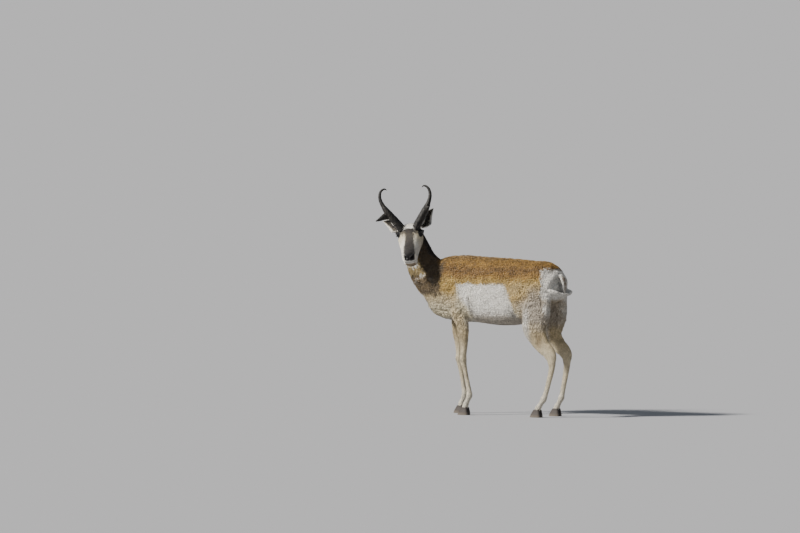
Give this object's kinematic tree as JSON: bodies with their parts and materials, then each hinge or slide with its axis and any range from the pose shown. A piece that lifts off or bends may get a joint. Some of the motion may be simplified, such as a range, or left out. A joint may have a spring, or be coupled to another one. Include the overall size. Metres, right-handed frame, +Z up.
{
  "type": "pronghorn",
  "caption": "Life-size still model of a standing pronghorn buck with its head turned back over its left side.",
  "frame": {"origin": "on the floor, under the middle of the whole animal's box", "axes": "+Z up, -Y the way the body faces, +X the animal's left side"},
  "size_m": [0.4654, 1.18, 1.2974],
  "materials": {
    "coat": "short dense hair, ochre above and white below",
    "horn": "ridged dark horn",
    "hoof": "smooth dark hoof",
    "eye": "wet, glossy dark eye"
  },
  "bodies": {
    "root": {"foreleg_left_upper": "coat", "foreleg_left_lower": "coat", "foreleg_left_claw_left": "hoof", "foreleg_left_claw_right": "hoof", "foreleg_right_upper": "coat", "foreleg_right_lower": "coat", "foreleg_right_claw_left": "hoof", "foreleg_right_claw_right": "hoof", "hindleg_left_upper": "coat", "hindleg_left_lower": "coat", "hindleg_left_claw_left": "hoof", "hindleg_left_claw_right": "hoof", "hindleg_right_upper": "coat", "hindleg_right_lower": "coat", "hindleg_right_claw_left": "hoof", "hindleg_right_claw_right": "hoof", "torso": "coat", "head": "coat", "tail": "coat", "ear_left": "coat", "eye_left": "eye", "horn_left": "horn", "ear_right": "coat", "eye_right": "eye", "horn_right": "horn", "rump": "coat", "neck_upper": "coat", "neck_lower": "coat"}
  },
  "joints": []
}
